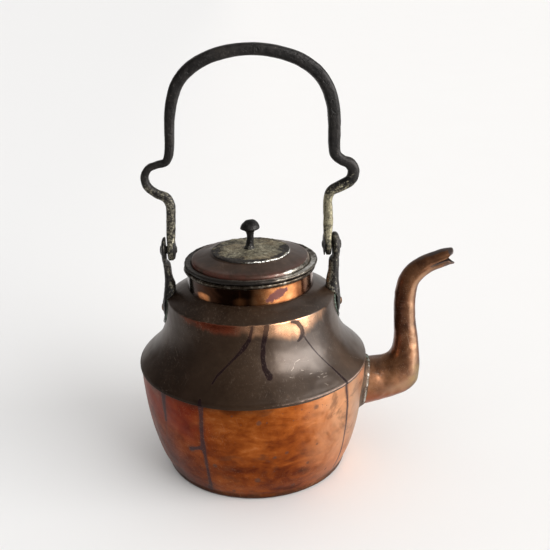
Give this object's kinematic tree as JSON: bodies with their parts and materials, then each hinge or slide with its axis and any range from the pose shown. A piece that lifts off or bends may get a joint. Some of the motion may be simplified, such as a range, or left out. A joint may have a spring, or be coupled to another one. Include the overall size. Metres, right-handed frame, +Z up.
{
  "type": "copper kettle",
  "caption": "Stove-top copper kettle with a swan-neck spout, loose lid and a swinging forged iron bail handle.",
  "frame": {"origin": "centre of the flat foot, on the surface the kettle stands on", "axes": "+Z up, +X from the body's centre towards the spout mouth, handle in the XZ plane"},
  "size_m": [0.2781, 0.2008, 0.3682],
  "materials": {
    "copper_polished": "rubbed copper sheet, mottled and dented, dark pits and drip stains",
    "copper_patina": "copper under a dark brown patina with a soft grey sheen",
    "copper_spout": "brown copper with hammer marks and worn bright ridges",
    "tinned_copper": "uneven tin wash over copper, pitted and stained",
    "tinned_wire": "iron wire inside the rolled neck edge",
    "corroded_tin": "grey-tan corroded tin plate, pitted",
    "black_iron": "forged iron, blackened and rust flecked",
    "tinned_iron": "forged iron with worn tinning, pitted",
    "copper_rivet": "hand-set copper rivet, browned",
    "verdigris_pad": "thin copper pad, chalky green-white verdigris"
  },
  "bodies": {
    "root": {"base_plate": "copper_polished", "bracket_pad_front": "verdigris_pad", "bracket_pad_rear": "verdigris_pad", "bracket_rivet_front": "copper_rivet", "bracket_rivet_rear": "copper_rivet", "handle_bracket_front": "tinned_iron", "handle_bracket_rear": "tinned_iron", "lower_body_wall": "copper_polished", "neck_collar": "copper_polished", "neck_rim_wire": "tinned_wire", "pivot_pin_front": "black_iron", "pivot_pin_rear": "black_iron", "pivot_washer_front": "tinned_iron", "pivot_washer_rear": "tinned_iron", "rivet_rove_front": "tinned_copper", "rivet_rove_rear": "tinned_copper", "shoulder_shell": "copper_patina", "spout_root_flange": "copper_spout", "spout_tube": "copper_spout"},
    "lid": {"lid_disc": "copper_patina", "lid_rim_ring": "tinned_copper", "lid_sleeve": "tinned_copper", "lid_centre_plate": "corroded_tin", "lid_knob": "black_iron", "knob_rove": "tinned_copper"},
    "handle": {"handle_bail": "black_iron"}
  },
  "joints": [
    {"name": "handle_swing", "type": "hinge", "parent": "root", "child": "handle", "pos_m": [0, 0, 0.1985], "axis": [1, 0, 0], "range_deg": [-135, 135]},
    {"name": "lid_lift", "type": "slide", "parent": "root", "child": "lid", "axis": [0, 0, 1], "range_m": [0, 0.06]}
  ]
}
